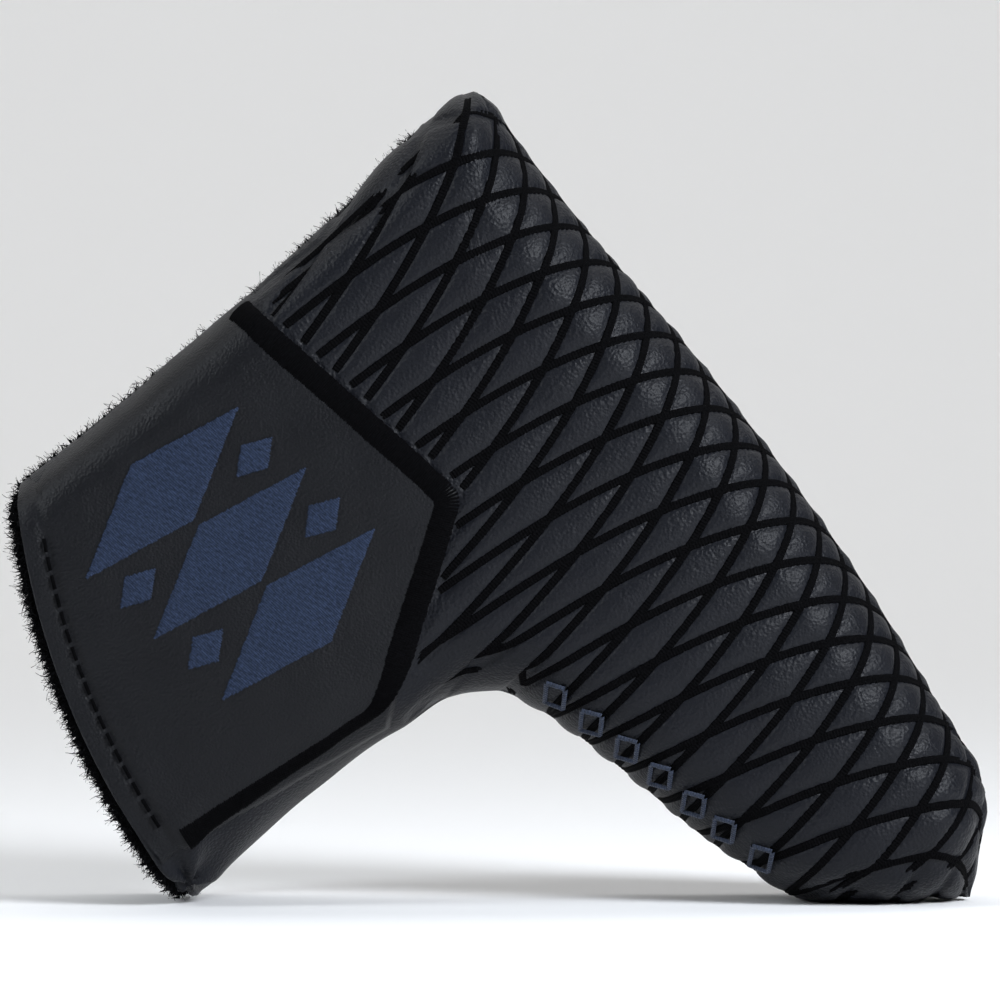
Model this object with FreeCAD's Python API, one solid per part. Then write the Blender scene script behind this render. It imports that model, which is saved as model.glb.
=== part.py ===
"""Quilted blade putter head cover: two soft half shells sewn back to back, open at the mouth and heel.

The cover is drawn in its own pattern frame (u along the sole from heel to toe, v from the sole towards
the mouth, w across the thickness) and then stood up on its toe and on the tip of its neck.
Front is w < 0 (row -Y), back is w > 0 (row +Y). All sizes are in millimetres.
"""
import FreeCAD, Part
import math
import os

os.makedirs("parts", exist_ok=True)
Vector = FreeCAD.Vector

# Overall sizes
NECK_WIDTH = 97.0        # heel tip to the closed lower edge of the neck
HEAD_REACH = 87.5        # how far the toe stands out beyond the neck
HEAD_HEIGHT = 67.0       # sole to the inner corner between head and neck
NECK_REACH = 68.2        # inner corner to the mouth
HALF_DEPTH = 20.0        # mid-plane seam to the outside of the leather
LEAN = 55.1              # degrees the sole leans below horizontal when the cover stands

# Edge rounds and the mouth
SOLE_ROUND = 15.0
INNER_ROUND = 14.0
HEEL_ROUND = 11.0
TOE_ROUND = 14.0
TOE_CORNER = 10.5        # side rounds shrink to this at the toe
MOUTH_BOW = 6.5          # how far the mouth edge bows outward
LINING_OVERHANG = 2.2    # pile standing out beyond the leather at the mouth

# Thicknesses, from the outside inwards, with the clearance between layers
LEATHER = 1.4
FOAM = 2.5
POCKET_CLOTH = 0.3
LINING = 3.5
PLY_GAP = 0.1
PATCH = 1.25
STITCH = 0.8
QUILT_THREAD = 0.45
TRIM_GAP = 0.05
SEAM_GAP = 0.15          # half the gap between front and back along the closed seam
SLIT_HALF = 4.2          # half the open width at the heel edge
SPLIT_GAP = 0.2          # each side of a fold line

# Quilting: one arch is repeated along the sole, and its two legs spread as they leave the seam
QUILT_PITCH = 9.3
QUILT_BAND = 1.5
QUILT_SPREAD = 26.2
QUILT_DECAY = 29.2
QUILT_LEAN_HEEL = 0.16
QUILT_LEAN_TOE = 0.05
QUILT_START = 2.0        # surface distance from the seam where the drawn bands begin
QUILT_END = 96.0

# Closing magnets
MAGNET_RADIUS = 5.0
MAGNET_THICK = 2.0
MAGNET_CLEAR = 0.3
MAGNET_SPOTS = [(27.5, 77.0), (30.0, 104.0)]
POCKET_MARGIN = 3.0

# Lip binding on the heel edge
BINDING = 1.4
BINDING_WIDTH = 6.2

# Patch border and edge marks
BORDER_WIDTH = 5.0
TOPSTITCH_WIDTH = 1.0
TOPSTITCH_INSET = 4.0
MARK_COUNT = 7
MARK_FIRST = 152.0
MARK_STEP = 7.6
MARK_INSET = 4.8
MARK_HALF = (3.2, 2.4)
MARK_LINE = 0.9

# Layer depths, measured inwards from the outside of the leather
FOAM_TOP = LEATHER + PLY_GAP
FOAM_BASE = FOAM_TOP + FOAM
POCKET_TOP = FOAM_BASE + TRIM_GAP
LINING_TOP = POCKET_TOP + POCKET_CLOTH + TRIM_GAP
LINING_BASE = LINING_TOP + LINING
PATCH_TOP = -(TRIM_GAP + PATCH)
STITCH_BASE = PATCH_TOP - TRIM_GAP
STITCH_TOP = STITCH_BASE - STITCH

FRONT = -1
BACK = 1


def head(share):
    """u of a point on the head leg, as a share of its reach beyond the neck."""
    return NECK_WIDTH + share * HEAD_REACH


def neck(share):
    """v of a point on the neck, as a share of its reach beyond the head."""
    return HEAD_HEIGHT + share * NECK_REACH


# Section ends from the toe (0) round the heel corner (8) to the mouth (16)
OUTER = [(head(1.0), 10.6), (head(0.82), -3.5), (head(0.58), -6.0), (head(0.31), -7.5),
         (NECK_WIDTH, -7.5), (68.0, -6.0), (39.0, -3.0), (15.5, -1.5), (0.0, -0.5),
         (-1.5, 9.5), (0.0, 19.5), (3.0, 33.0), (5.0, 46.5), (7.5, 64.0),
         (9.0, neck(0.25)), (10.8, neck(0.59)), (11.5, neck(0.72))]
INNER = [(head(0.772), 39.3), (head(0.67), 42.5), (head(0.54), 47.0), (head(0.31), 52.5),
         (head(0.14), 57.5), (NECK_WIDTH + 3.0, 62.0), (NECK_WIDTH - 1.5, HEAD_HEIGHT),
         (NECK_WIDTH - 3.5, neck(0.095)), (NECK_WIDTH - 3.5, neck(0.21)),
         (NECK_WIDTH - 4.0, neck(0.30)), (NECK_WIDTH - 4.0, neck(0.39)),
         (NECK_WIDTH - 3.5, neck(0.50)), (NECK_WIDTH - 3.0, neck(0.62)),
         (NECK_WIDTH - 2.0, neck(0.74)), (NECK_WIDTH - 1.0, neck(0.86)),
         (NECK_WIDTH, neck(0.94)), (NECK_WIDTH, neck(1.0))]
MOUTH = len(OUTER) - 1
HEEL = 8
MOUTH_SPACING = 6.5      # mean run of the last station, for lengths beyond the mouth
SLIT_START = 10.0
SLIT_FULL = 12.0

# The fold line of both flaps, from the head of the slit to the closed tip of the mouth
FOLD_HEEL = (3.0, 19.5)
FOLD_MOUTH = (NECK_WIDTH - 19.0, neck(1.0))

PATCH_OUTLINE = [(8.0, 59.4), (61.8, 46.9), (92.2, 84.6), (88.9, 128.3), (88.0, 150.0), (8.0, 150.0)]
PATCH_CORNERS = 4

EMBLEM_CENTRE = (46.0, 90.0)
EMBLEM_TILT = -13.5
EMBLEM_LARGE = (8.0, 22.0)
EMBLEM_SMALL = (3.2, 5.0)
EMBLEM_PITCH = 17.6
EMBLEM_RISE = 17.0
EMBLEM_DIAMONDS = [(k * EMBLEM_PITCH, 0.0, EMBLEM_LARGE) for k in (-1, 0, 1)]
EMBLEM_DIAMONDS += [(i * 0.5 * EMBLEM_PITCH, j * EMBLEM_RISE, EMBLEM_SMALL)
                    for i in (-1, 1) for j in (-1, 1)]


def at_station(table, s):
    """A point on a smooth curve through the table, at a fractional station."""
    i = max(0, min(int(math.floor(s)), len(table) - 2))
    t = s - i
    p = [table[max(0, min(k, len(table) - 1))] for k in (i - 1, i, i + 1, i + 2)]
    if t > 1.0:
        return tuple(p[2][k] + (t - 1.0) * (p[2][k] - p[1][k]) for k in (0, 1))
    out = []
    for k in (0, 1):
        a, b, c, d = (q[k] for q in p)
        slope_b = 0.5 * (c - a)
        slope_c = 0.5 * (d - b)
        out.append((2 * t**3 - 3 * t**2 + 1) * b + (t**3 - 2 * t**2 + t) * slope_b
                   + (3 * t**2 - 2 * t**3) * c + (t**3 - t**2) * slope_c)
    return tuple(out)


def blend(s, start, end, before, after):
    """A value that eases from before to after between two stations."""
    t = max(0.0, min(1.0, (s - start) / (end - start)))
    return before + (after - before) * t * t * (3.0 - 2.0 * t)


def section(s):
    """Ends, length and unit directions of the section line at a station."""
    p = at_station(OUTER, s)
    q = at_station(INNER, s)
    length = math.hypot(q[0] - p[0], q[1] - p[1])
    along = ((q[0] - p[0]) / length, (q[1] - p[1]) / length)
    return p, q, length, along


def slant(table, s, along):
    """How much longer an inset is along the section line than square to the edge."""
    a = at_station(table, max(0.0, s - 0.3))
    b = at_station(table, s + 0.3)
    run = math.hypot(b[0] - a[0], b[1] - a[1])
    square = abs(along[0] * (b[1] - a[1]) - along[1] * (b[0] - a[0])) / run
    return 1.0 / max(0.6, square)


def in_plane(s, x):
    """Pattern point on a section, x from its outer end, with the bow of the mouth."""
    p, q, length, along = section(s)
    share = x / length
    bow = MOUTH_BOW * max(0.0, (s - 11.0) / (MOUTH - 11.0)) ** 2 * 4.0 * share * (1.0 - share)
    return (p[0] + along[0] * x - along[1] * bow, p[1] + along[1] * x + along[0] * bow)


ARC = [0.0, 22.0, 45.0, 68.0, 90.0]
FLAT = [0.25, 0.5, 0.75]


def section_points(s, depth, rise, side):
    """Points over one half section, at a depth under the leather; rise is 0 at the toe seam, then 1."""
    p, q, length, along = section(s)
    round_p = blend(s, 7.0, 9.0, blend(s, 0.0, 2.0, TOE_CORNER, SOLE_ROUND), HEEL_ROUND)
    round_q = blend(s, 0.0, 2.0, TOE_CORNER, INNER_ROUND)
    stretch_p = slant(OUTER, s, along)
    stretch_q = slant(INNER, s, along)
    lip = blend(s, SLIT_START, SLIT_FULL, SEAM_GAP, SLIT_HALF)
    top = HALF_DEPTH - depth
    rows = []
    for degrees in ARC:
        a = math.radians(degrees)
        x = stretch_p * (round_p - (round_p - depth) * math.cos(a))
        rows.append((x, lip + (top - lip) * rise * math.sin(a)))
    start = stretch_p * round_p
    end = length - stretch_q * round_q
    level = lip + (top - lip) * rise
    for share in FLAT:
        rows.append((start + (end - start) * share, level))
    for degrees in reversed(ARC):
        a = math.radians(degrees)
        x = length - stretch_q * (round_q - (round_q - depth) * math.cos(a))
        rows.append((x, SEAM_GAP + (top - SEAM_GAP) * rise * math.sin(a)))
    out = []
    for x, w in rows:
        u, v = in_plane(s, x)
        out.append(Vector(u, v, side * w))
    return out


TOE_ARC = [0.0, 22.0, 45.0, 68.0]
STATIONS = [1.0, 2.0, 3.0, 4.0, 5.0, 6.0, 6.6, 7.2, 7.7, 8.0, 8.4, 9.0, 10.0, 11.0, 12.0, 13.0, 14.0, 15.0]


def panel_grid(side, depth, last):
    """Rows of points over one half at a depth, from the toe seam to the last station."""
    grid = []
    for degrees in TOE_ARC:
        a = math.radians(degrees)
        s = 1.0 - (1.0 - depth / TOE_ROUND) * math.cos(a)
        grid.append(section_points(s, depth, math.sin(a), side))
    for s in STATIONS + [last]:
        grid.append(section_points(s, depth, 1.0, side))
    return grid


def triangle(a, b, c):
    return Part.Face(Part.makePolygon([a, b, c, a]))


def facets(grid):
    """Two triangles for each cell of a grid of points, cut from the middle column outwards."""
    faces = []
    for row, below in zip(grid, grid[1:]):
        for k in range(len(row) - 1):
            if 2 * k < len(row) - 1:
                faces.append(triangle(row[k], row[k + 1], below[k + 1]))
                faces.append(triangle(row[k], below[k + 1], below[k]))
            else:
                faces.append(triangle(row[k], row[k + 1], below[k]))
                faces.append(triangle(row[k + 1], below[k + 1], below[k]))
    return faces


def layer(side, outer_depth, inner_depth, last=MOUTH):
    """A closed ply between two depths, as facets on the same stations as every other ply."""
    a = panel_grid(side, outer_depth, last)
    b = panel_grid(side, inner_depth, last)
    faces = facets(a) + facets(b)
    faces += facets([a[0], b[0]]) + facets([a[-1], b[-1]])
    faces += facets([[row[0] for row in a], [row[0] for row in b]])
    faces += facets([[row[-1] for row in a], [row[-1] for row in b]])
    solid = Part.makeSolid(Part.makeShell(faces))
    if solid.Volume < 0:
        solid.reverse()
    return solid


REACH = 60.0


def prism(points, low=-REACH, high=REACH):
    """A column over a pattern outline."""
    corners = [Vector(u, v, low) for u, v in points]
    face = Part.Face(Part.makePolygon(corners + [corners[0]]))
    return face.extrude(Vector(0, 0, high - low))


def shifted(point, direction, amount):
    return (point[0] + direction[0] * amount, point[1] + direction[1] * amount)


def fold_side(sign):
    """A column over the pattern on one side of the fold line: -1 keeps the root, +1 the flap."""
    run = math.hypot(FOLD_MOUTH[0] - FOLD_HEEL[0], FOLD_MOUTH[1] - FOLD_HEEL[1])
    along = ((FOLD_MOUTH[0] - FOLD_HEEL[0]) / run, (FOLD_MOUTH[1] - FOLD_HEEL[1]) / run)
    square = (-along[1] * sign, along[0] * sign)
    a = shifted(shifted(FOLD_HEEL, along, -80.0), square, SPLIT_GAP)
    b = shifted(shifted(FOLD_MOUTH, along, 80.0), square, SPLIT_GAP)
    return prism([a, b, shifted(b, square, 260.0), shifted(a, square, 260.0)])


ROOT_SIDE = fold_side(-1)
FLAP_SIDE = fold_side(1)


def single(shape):
    """The largest solid of a cut, on its own."""
    return max(shape.Solids, key=lambda s: s.Volume)


def inset_line(a, b, amount):
    """A line moved square to itself, to the left of its run."""
    run = math.hypot(b[0] - a[0], b[1] - a[1])
    normal = (-(b[1] - a[1]) / run, (b[0] - a[0]) / run)
    return shifted(a, normal, amount), shifted(b, normal, amount)


def crossing(line_a, line_b):
    (x1, y1), (x2, y2) = line_a
    (x3, y3), (x4, y4) = line_b
    bottom = (x1 - x2) * (y3 - y4) - (y1 - y2) * (x3 - x4)
    a = x1 * y2 - y1 * x2
    b = x3 * y4 - y3 * x4
    return ((a * (x3 - x4) - (x1 - x2) * b) / bottom, (a * (y3 - y4) - (y1 - y2) * b) / bottom)


def inset_outline(points, amount):
    count = len(points)
    lines = [inset_line(points[i], points[(i + 1) % count], amount) for i in range(count)]
    return [crossing(lines[i - 1], lines[i]) for i in range(count)]


def quilt_point(start, distance, leg):
    """A point of an arch leg that starts on the seam at u = start, at a surface distance from the seam."""
    lean = max(0.0, QUILT_LEAN_HEEL - (QUILT_LEAN_HEEL - QUILT_LEAN_TOE) * (start - 39.0) / 78.0)
    spread = QUILT_SPREAD * (1.0 - math.exp(-distance / QUILT_DECAY))
    quarter = 0.5 * math.pi * SOLE_ROUND
    if distance < quarter:
        drop = SOLE_ROUND * (1.0 - math.cos(distance / SOLE_ROUND))
    else:
        drop = SOLE_ROUND + distance - quarter
    u = start + lean * distance + leg * spread
    return (u, sole_height(u) + drop)


def sole_height(u):
    """v of the sole edge at u."""
    for a, b in zip(OUTER[1:HEEL], OUTER[:HEEL - 1]):
        if u >= a[0]:
            return a[1] + (b[1] - a[1]) * min(1.0, (u - a[0]) / (b[0] - a[0]))
    return OUTER[HEEL][1]


def quilt_columns(leg):
    """Columns over every leg of one family of quilting bands."""
    columns = []
    count = int((head(1.0) + 40.0) / QUILT_PITCH)
    for i in range(count + 1):
        start = -20.0 + i * QUILT_PITCH
        steps = [QUILT_START + (QUILT_END - QUILT_START) * k / 9.0 for k in range(10)]
        middle = [quilt_point(start, d, leg) for d in steps]
        left, right = [], []
        for k, point in enumerate(middle):
            a = middle[max(0, k - 1)]
            b = middle[min(len(middle) - 1, k + 1)]
            run = math.hypot(b[0] - a[0], b[1] - a[1])
            normal = (-(b[1] - a[1]) / run, (b[0] - a[0]) / run)
            left.append(shifted(point, normal, 0.5 * QUILT_BAND))
            right.append(shifted(point, normal, -0.5 * QUILT_BAND))
        columns.append(prism(left + right[::-1]))
    return columns


QUILT_FIELD = prism([(-30.0, -30.0), (head(1.0) + 40.0, -30.0), (head(1.0) + 40.0, 60.0),
                     (head(0.3), 60.0), (NECK_WIDTH + 1.0, HEAD_HEIGHT - 2.0), (93.0, 81.0),
                     (62.3, 45.7), (-30.0, 67.2)])


def quilting(side, leg, base):
    """One family of raised stitched bands over the head leg of one half."""
    ply = layer(side, base - QUILT_THREAD, base, last=MOUTH)
    field = single(ply.common(QUILT_FIELD))
    bands = []
    for column in quilt_columns(leg):
        bands += [s for s in field.common(column).Solids if 0.05 < s.Volume < 200.0]
    return bands


def emblem_column(a, b, half):
    """A column over one diamond of the emblem, centred at (a, b) on the emblem's own axes."""
    t = math.radians(EMBLEM_TILT)
    corners = [(a - half[0], b), (a, b - half[1]), (a + half[0], b), (a, b + half[1])]
    return prism([(EMBLEM_CENTRE[0] + x * math.cos(t) - y * math.sin(t),
                   EMBLEM_CENTRE[1] + x * math.sin(t) + y * math.cos(t)) for x, y in corners])


def topstitch_column():
    """A column over a row of stitches beside the mouth edge."""
    outer, inner = [], []
    for k in range(9):
        x = 15.0 + k * 7.0
        near = in_plane(MOUTH, x)
        far = in_plane(MOUTH - 1.0, x)
        run = math.hypot(near[0] - far[0], near[1] - far[1])
        back = ((far[0] - near[0]) / run, (far[1] - near[1]) / run)
        outer.append(shifted(near, back, TOPSTITCH_INSET))
        inner.append(shifted(near, back, TOPSTITCH_INSET + TOPSTITCH_WIDTH))
    return prism(outer + inner[::-1])


def stood_up(shape):
    """Turn the pattern frame to the standing frame: u falls to the right, v falls to the left."""
    c = math.cos(math.radians(LEAN))
    s = math.sin(math.radians(LEAN))
    turn = FreeCAD.Matrix(c, -s, 0, 0, 0, 0, 1, 0, -s, -c, 0, 0, 0, 0, 0, 1)
    moved = shape.copy()
    moved.Placement = FreeCAD.Placement(turn)
    return moved


def magnets(side):
    """Disc magnets in the foam of one flap, and the holes they sit in."""
    discs, holes = [], []
    top = HALF_DEPTH - FOAM_TOP - 0.5 * (FOAM - MAGNET_THICK)
    for u, v in MAGNET_SPOTS:
        low = top - MAGNET_THICK if side == BACK else -top
        discs.append(Part.makeCylinder(MAGNET_RADIUS, MAGNET_THICK, Vector(u, v, low)))
        holes.append(Part.makeCylinder(MAGNET_RADIUS + MAGNET_CLEAR, 2 * REACH, Vector(u, v, -REACH)))
    return discs, holes


def pocket_outline():
    reach = MAGNET_RADIUS + POCKET_MARGIN
    (u1, v1), (u2, v2) = MAGNET_SPOTS
    return [(u1 - reach, v1 - reach), (u1 + reach - 2.0, v1 - reach),
            (u2 + reach, v2 + reach), (u2 - reach, v2 + reach)]


def build_half(side, name, parts):
    """The plies of one half, split along the fold line into the fixed panel and its flap."""
    leather = layer(side, 0.0, LEATHER)
    foam = layer(side, FOAM_TOP, FOAM_BASE)
    lining = layer(side, LINING_TOP, LINING_BASE, last=MOUTH + LINING_OVERHANG / MOUTH_SPACING)
    pocket = layer(side, POCKET_TOP, POCKET_TOP + POCKET_CLOTH)
    discs, holes = magnets(side)
    parts[name + "_shell_leather"] = single(leather.common(ROOT_SIDE))
    parts[name + "_flap_leather"] = single(leather.common(FLAP_SIDE))
    parts[name + "_shell_foam"] = single(foam.common(ROOT_SIDE))
    flap_foam = single(foam.common(FLAP_SIDE))
    for hole in holes:
        flap_foam = flap_foam.cut(hole)
    parts[name + "_flap_foam"] = single(flap_foam)
    parts[name + "_shell_lining"] = single(lining.common(ROOT_SIDE))
    parts[name + "_flap_lining"] = single(lining.common(FLAP_SIDE))
    for label, disc in zip(("upper", "lower"), discs):
        parts[name + "_" + label + "_magnet"] = disc
    parts[name + "_magnet_pocket"] = single(pocket.common(prism(pocket_outline())))
    parts[name + "_lip_binding"] = lip_binding(side)


def lip_binding(side):
    """A flat strip over the raw edges of the plies, along the open heel edge of one flap."""
    outer, inner = [], []
    for k in range(9):
        s = SLIT_FULL + (MOUTH - SLIT_FULL) * k / 8.0
        outer.append(in_plane(s, 0.3))
        inner.append(in_plane(s, BINDING_WIDTH))
    low = SLIT_HALF - PLY_GAP - BINDING
    high = SLIT_HALF - PLY_GAP
    if side == FRONT:
        low, high = -high, -low
    return prism(outer + inner[::-1], low, high)


def build_trim(parts):
    """Quilting threads, patch, its border, the emblem, the edge marks and the mouth topstitch."""
    for side, name in ((FRONT, "front"), (BACK, "back")):
        first = quilting(side, -1, -TRIM_GAP)
        second = quilting(side, 1, -TRIM_GAP - QUILT_THREAD - TRIM_GAP)
        for label, region in (("", ROOT_SIDE), ("_flap", FLAP_SIDE)):
            bands = [s for band in first + second for s in band.common(region).Solids if s.Volume > 0.05]
            parts[name + label + "_quilting_threads"] = Part.makeCompound(bands)
    column = topstitch_column()
    over_leather = layer(BACK, -TRIM_GAP - STITCH, -TRIM_GAP)
    parts["back_mouth_topstitch"] = single(over_leather.common(column).common(FLAP_SIDE))
    over_patch = layer(FRONT, STITCH_TOP, STITCH_BASE, last=MOUTH - 0.02)
    parts["front_mouth_topstitch"] = single(over_patch.common(column).common(FLAP_SIDE))

    patch = layer(FRONT, PATCH_TOP, -TRIM_GAP, last=MOUTH - 0.02)
    patch = single(patch.common(prism(PATCH_OUTLINE)))
    parts["patch_leather"] = single(patch.common(ROOT_SIDE))
    parts["patch_flap_leather"] = single(patch.common(FLAP_SIDE))

    window = inset_outline(PATCH_OUTLINE, BORDER_WIDTH)
    window = window[:PATCH_CORNERS] + [(window[3][0], 160.0), (window[0][0], 160.0)]
    stitches = single(over_patch.common(prism(PATCH_OUTLINE)).cut(prism(window)))
    parts["patch_border_stitching"] = single(stitches.common(ROOT_SIDE))
    parts["patch_flap_border_stitching"] = single(stitches.common(FLAP_SIDE))

    columns = [emblem_column(a, b, half) for a, b, half in EMBLEM_DIAMONDS]
    fills = [s for c in columns for s in over_patch.common(c).Solids]
    fixed = [s for f in fills for s in f.common(ROOT_SIDE).Solids if s.Volume > 0.3]
    moving = [s for f in fills for s in f.common(FLAP_SIDE).Solids if s.Volume > 0.3]
    parts["emblem_embroidery"] = Part.makeCompound(fixed)
    parts["emblem_flap_embroidery"] = Part.makeCompound(moving)

    over_quilt = layer(FRONT, -TRIM_GAP - 2 * (QUILT_THREAD + TRIM_GAP) - STITCH,
                       -TRIM_GAP - 2 * (QUILT_THREAD + TRIM_GAP))
    marks = []
    for k in range(MARK_COUNT):
        p, q, length, along = section(edge_station(MARK_FIRST - k * MARK_STEP))
        centre = (q[0] - along[0] * MARK_INSET, q[1] - along[1] * MARK_INSET)
        ring = diamond(centre, MARK_HALF).cut(diamond(centre, (MARK_HALF[0] - MARK_LINE,
                                                              MARK_HALF[1] - MARK_LINE)))
        marks.append(single(over_quilt.common(ring)))
    parts["edge_mark_embroidery"] = Part.makeCompound(marks)


def edge_station(u):
    """The station whose inner end lies at u, on the head leg."""
    for i in range(MOUTH):
        if INNER[i + 1][0] <= u:
            return i + (INNER[i][0] - u) / (INNER[i][0] - INNER[i + 1][0])
    return float(MOUTH)


def diamond(centre, half):
    u, v = centre
    return prism([(u - half[0], v), (u, v - half[1]), (u + half[0], v), (u, v + half[1])])


def main():
    parts = {}
    build_half(FRONT, "front", parts)
    build_half(BACK, "back", parts)
    build_trim(parts)
    standing = {name: stood_up(shape) for name, shape in parts.items()}
    box = Part.makeCompound(list(standing.values())).optimalBoundingBox(False, False)
    centre = Vector(0.5 * (box.XMin + box.XMax), 0.5 * (box.YMin + box.YMax), box.ZMin)
    for name, shape in standing.items():
        shape.translate(-centre)
        shape.exportStep("parts/" + name + ".step")
        print(name, len(shape.Solids), round(shape.Volume, 1), shape.isValid())
    print("centre", centre, "size", box.XLength, box.YLength, box.ZLength)


main()
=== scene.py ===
"""Looks of the putter head cover: leather, quilting, embroidery and pile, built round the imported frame."""

import math

import bpy
import numpy as np
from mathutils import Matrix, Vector
from mathutils.bvhtree import BVHTree


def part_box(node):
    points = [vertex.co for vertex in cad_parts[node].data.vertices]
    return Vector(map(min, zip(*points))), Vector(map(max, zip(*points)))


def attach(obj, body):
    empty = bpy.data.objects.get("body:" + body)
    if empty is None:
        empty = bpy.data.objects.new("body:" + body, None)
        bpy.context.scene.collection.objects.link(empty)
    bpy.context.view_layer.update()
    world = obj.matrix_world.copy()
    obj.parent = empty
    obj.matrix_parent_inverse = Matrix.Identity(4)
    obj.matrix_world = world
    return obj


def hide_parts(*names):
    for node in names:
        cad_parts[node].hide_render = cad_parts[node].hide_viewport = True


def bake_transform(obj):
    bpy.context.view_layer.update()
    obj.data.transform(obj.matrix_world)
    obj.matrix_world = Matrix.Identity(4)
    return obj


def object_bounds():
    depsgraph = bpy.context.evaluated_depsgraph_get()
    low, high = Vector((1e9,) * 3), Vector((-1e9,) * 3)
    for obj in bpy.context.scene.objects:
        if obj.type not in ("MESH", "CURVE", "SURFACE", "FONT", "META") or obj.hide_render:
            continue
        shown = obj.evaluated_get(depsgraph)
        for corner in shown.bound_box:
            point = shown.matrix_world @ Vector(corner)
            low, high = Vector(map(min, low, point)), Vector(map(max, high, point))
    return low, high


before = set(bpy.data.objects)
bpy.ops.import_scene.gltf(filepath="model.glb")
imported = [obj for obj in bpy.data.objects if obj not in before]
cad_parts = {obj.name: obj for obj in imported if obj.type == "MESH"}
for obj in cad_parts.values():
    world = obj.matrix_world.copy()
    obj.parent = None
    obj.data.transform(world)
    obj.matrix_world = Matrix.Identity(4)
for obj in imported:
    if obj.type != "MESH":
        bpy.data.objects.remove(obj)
cad_box = [list(corner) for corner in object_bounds()]
rng = np.random.default_rng(7)

# ---------------------------------------------------------------- pattern, in millimetres
# u runs along the sole to the toe, v from the sole to the mouth, w across (front is negative)
NECK_WIDTH = 97.0
HEAD_REACH = 87.5
HEAD_HEIGHT = 67.0
NECK_REACH = 68.2
HALF_DEPTH = 20.0
LEAN = math.radians(55.1)
SOLE_ROUND, INNER_ROUND, HEEL_ROUND, TOE_CORNER = 15.0, 14.0, 11.0, 10.5
MOUTH_BOW = 6.5
TOE_ROUND = 14.0
FOAM, PILE_BACKING = 2.5, 3.5
FOAM_TOP, LINING_TOP = 1.5, 4.4
SEAM_GAP, SLIT_HALF = 0.15, 4.2
FRONT, BACK = -1, 1

QUILT_PITCH, QUILT_SPREAD, QUILT_DECAY = 9.3, 26.2, 29.2
QUILT_LEAN_HEEL, QUILT_LEAN_TOE = 0.16, 0.05
QUILT_LEAN_FROM, QUILT_LEAN_RUN = 39.0, 78.0
BAND_HALF = 0.8          # half width of the groove that a stitch band lies in
SHOULDER = 0.32          # how far the leather steps up beside a band
PUFF = 0.62              # how much further it swells in the middle of a cell
GROOVE = 0.5             # how far a band pulls it in

MAGNET_SPOT = (27.5, 77.0)


def head(share):
    return NECK_WIDTH + share * HEAD_REACH


def neck(share):
    return HEAD_HEIGHT + share * NECK_REACH


OUTER = np.array([
    (head(1.0), 10.6), (head(0.82), -3.5), (head(0.58), -6.0), (head(0.31), -7.5),
    (NECK_WIDTH, -7.5), (68.0, -6.0), (39.0, -3.0), (15.5, -1.5), (0.0, -0.5),
    (-1.5, 9.5), (0.0, 19.5), (3.0, 33.0), (5.0, 46.5), (7.5, 64.0),
    (9.0, neck(0.25)), (10.8, neck(0.59)), (11.5, neck(0.72))])
INNER = np.array([
    (head(0.772), 39.3), (head(0.67), 42.5), (head(0.54), 47.0), (head(0.31), 52.5),
    (head(0.14), 57.5), (NECK_WIDTH + 3.0, 62.0), (NECK_WIDTH - 1.5, HEAD_HEIGHT),
    (NECK_WIDTH - 3.5, neck(0.095)), (NECK_WIDTH - 3.5, neck(0.21)),
    (NECK_WIDTH - 4.0, neck(0.30)), (NECK_WIDTH - 4.0, neck(0.39)),
    (NECK_WIDTH - 3.5, neck(0.50)), (NECK_WIDTH - 3.0, neck(0.62)),
    (NECK_WIDTH - 2.0, neck(0.74)), (NECK_WIDTH - 1.0, neck(0.86)),
    (NECK_WIDTH, neck(0.94)), (NECK_WIDTH, neck(1.0))])
# Places along both tables are stations: 0 at the toe seam, 16 at the mouth
MOUTH = 16.0
BOW_START = 11.0
SLIT_START, SLIT_FULL = 10.0, 12.0
TOE_BLEND, HEEL_BLEND = (0.0, 2.0), (7.0, 9.0)
SLANT_STEP, SLANT_LEAST = 0.3, 0.6

PATCH_TOP_LEFT = np.array([8.0, 59.4])
PATCH_TOP = np.array([61.8, 46.9])
PATCH_RIGHT = np.array([92.2, 84.6])
PATCH_LOW = np.array([88.9, 128.3])
EMBLEM_CENTRE = np.array([46.0, 90.0])
EMBLEM_TILT = math.radians(-13.5)
EMBLEM_DIAMONDS = [(17.6 * k, 0.0, (8.0, 22.0)) for k in (-1, 0, 1)]
EMBLEM_DIAMONDS += [(8.8 * i, 17.0 * j, (3.2, 5.0)) for i in (-1, 1) for j in (-1, 1)]


def standing_offset():
    """Where the pattern's origin stands in the row frame, from a magnet whose pattern place is known."""
    low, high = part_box("front_upper_magnet")
    x, z = 0.5 * (low[0] + high[0]) * 1000.0, 0.5 * (low[2] + high[2]) * 1000.0
    u, v = MAGNET_SPOT
    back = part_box("back_upper_magnet")
    y = 0.25 * (low[1] + high[1] + back[0][1] + back[1][1]) * 1000.0
    return (x - (math.cos(LEAN) * u - math.sin(LEAN) * v), y,
            z - (-math.sin(LEAN) * u - math.cos(LEAN) * v))


OFFSET = standing_offset()


def row_frame(points):
    """Pattern points (mm) to row-frame points (m)."""
    p = np.asarray(points, float)
    u, v, w = p[..., 0], p[..., 1], p[..., 2]
    c, s = math.cos(LEAN), math.sin(LEAN)
    return np.stack([c * u - s * v + OFFSET[0], w + OFFSET[1], -s * u - c * v + OFFSET[2]], -1) * 0.001


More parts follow.
